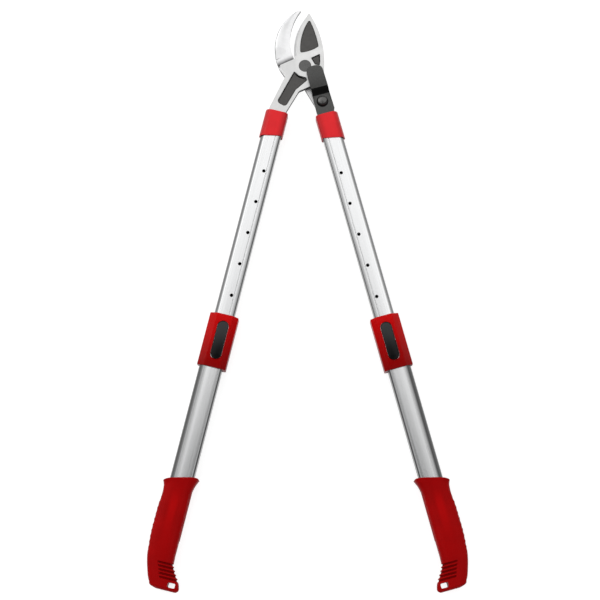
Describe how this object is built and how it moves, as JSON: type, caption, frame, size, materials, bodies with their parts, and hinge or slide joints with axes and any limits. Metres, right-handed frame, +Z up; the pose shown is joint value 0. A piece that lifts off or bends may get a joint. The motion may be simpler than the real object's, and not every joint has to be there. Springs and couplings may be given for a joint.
{
  "type": "telescopic lopper",
  "caption": "Long-handled bypass lopper with a compound lever, a curved hook, telescopic aluminium arms with sprung locks, and hooked red grips",
  "frame": {"origin": "middle of the outline, at the height of the lowest point, with the lopper lying on its back", "axes": "+Y from the grips to the blade tip, +Z up out of its front face, +X to the drive lever's side"},
  "size_m": [0.4672, 0.9014, 0.0399],
  "materials": {
    "steel": "ground steel",
    "dark_steel": "satin dark coating",
    "bolt_steel": "blackened",
    "zinc_steel": "zinc plated",
    "dark_inlay": "matt dark enamel",
    "aluminium": "satin anodised",
    "red_plastic": "moulded, slight sheen",
    "red_rubber": "moulded, soft satin",
    "black_plastic": "moulded, satin",
    "spring_steel": "bright wire"
  },
  "bodies": {
    "blade_side": {"blade": "steel", "blade_inlay": "dark_inlay", "web_inlay": "dark_inlay", "shank_inlay": "dark_inlay", "pivot_bolt": "bolt_steel", "pivot_washer": "zinc_steel", "pivot_nut": "zinc_steel", "left_collar": "red_plastic", "left_upper_tube": "aluminium", "left_upper_rivet": "zinc_steel", "left_lower_rivet": "zinc_steel", "left_end_plug": "black_plastic"},
    "hook_side": {"hook": "steel", "lever_bolt": "bolt_steel", "lever_washer": "zinc_steel", "lever_nut": "zinc_steel"},
    "drive_side": {"drive_lever": "dark_steel", "drive_pin": "zinc_steel", "right_collar": "red_plastic", "right_upper_tube": "aluminium", "right_upper_rivet": "zinc_steel", "right_lower_rivet": "zinc_steel", "right_end_plug": "black_plastic"},
    "left_handle": {"left_clamp": "red_plastic", "left_lower_tube": "aluminium", "left_grip": "red_rubber", "left_lock_axle": "zinc_steel", "left_lock_spring": "spring_steel"},
    "left_lock": {"left_lock_lever": "black_plastic", "left_lock_pin": "zinc_steel"},
    "right_handle": {"right_clamp": "red_plastic", "right_lower_tube": "aluminium", "right_grip": "red_rubber", "right_lock_axle": "zinc_steel", "right_lock_spring": "spring_steel"},
    "right_lock": {"right_lock_lever": "black_plastic", "right_lock_pin": "zinc_steel"}
  },
  "joints": [
    {"name": "jaw_hinge", "type": "hinge", "parent": "blade_side", "child": "hook_side", "pos_m": [-0.00318, 0.35524, 0.0189], "axis": [0, 0, 1], "range_deg": [-13, 45]},
    {"name": "lever_hinge", "type": "hinge", "parent": "hook_side", "child": "drive_side", "pos_m": [0.02394, 0.29829, 0.0189], "axis": [0, 0, 1], "range_deg": [-5.4, 18.4]},
    {"name": "left_slide", "type": "slide", "parent": "blade_side", "child": "left_handle", "axis": [0.2379, 0.9713, 0], "range_m": [0, 0.25]},
    {"name": "right_slide", "type": "slide", "parent": "drive_side", "child": "right_handle", "axis": [-0.2613, 0.9652, 0], "range_m": [0, 0.25]},
    {"name": "left_lock_hinge", "type": "hinge", "parent": "left_handle", "child": "left_lock", "pos_m": [-0.1307, -0.08022, 0.0351], "axis": [-0.9713, 0.2379, 0], "range_deg": [-2, 5.5], "stiffness_Nm_per_rad": 0.05, "deforming": ["left_lock_spring"]},
    {"name": "right_lock_hinge", "type": "hinge", "parent": "right_handle", "child": "right_lock", "pos_m": [0.12288, -0.08165, 0.0351], "axis": [-0.9652, -0.2613, 0], "range_deg": [-2, 5.5], "stiffness_Nm_per_rad": 0.05, "deforming": ["right_lock_spring"]}
  ],
  "couplings": [
    {"joint": "lever_hinge", "follows": "jaw_hinge", "ratio": 0.4}
  ]
}
